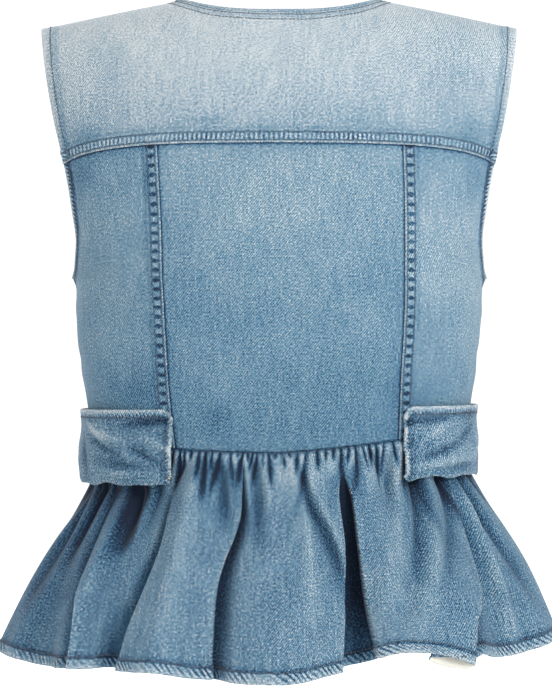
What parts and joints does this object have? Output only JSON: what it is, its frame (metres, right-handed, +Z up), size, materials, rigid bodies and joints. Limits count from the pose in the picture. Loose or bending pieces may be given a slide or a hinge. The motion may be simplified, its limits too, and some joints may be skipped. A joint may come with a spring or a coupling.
{
  "type": "denim vest",
  "caption": "Sleeveless fitted denim vest with a yoke, princess seams, waist tabs, a buttoned front and a gathered peplum, in its hollow worn shape.",
  "frame": {"origin": "midway between the two neck points, level with the tops of the shoulders that carry the vest", "axes": "+Z up as worn, the front faces -Y, the wearer's left is +X"},
  "size_m": [0.4674, 0.3818, 0.5561],
  "materials": {
    "faded_denim": "washed cotton twill, nearly bleached",
    "body_denim": "washed cotton twill, mid blue",
    "peplum_denim": "washed cotton twill, deeper blue",
    "button_metal": "aged dull metal"
  },
  "bodies": {
    "root": {"back_yoke": "faded_denim", "neck_binding": "faded_denim", "back_centre": "body_denim", "back_side_left": "body_denim", "back_side_right": "body_denim", "front_left": "body_denim", "front_right": "body_denim", "front_placket": "body_denim", "waist_tab_left": "body_denim", "waist_tab_right": "body_denim", "peplum_back": "peplum_denim", "peplum_front_left": "peplum_denim", "peplum_front_right": "peplum_denim", "button_1": "button_metal", "button_2": "button_metal", "button_3": "button_metal", "button_4": "button_metal", "button_5": "button_metal", "button_6": "button_metal", "button_7": "button_metal"}
  },
  "joints": []
}
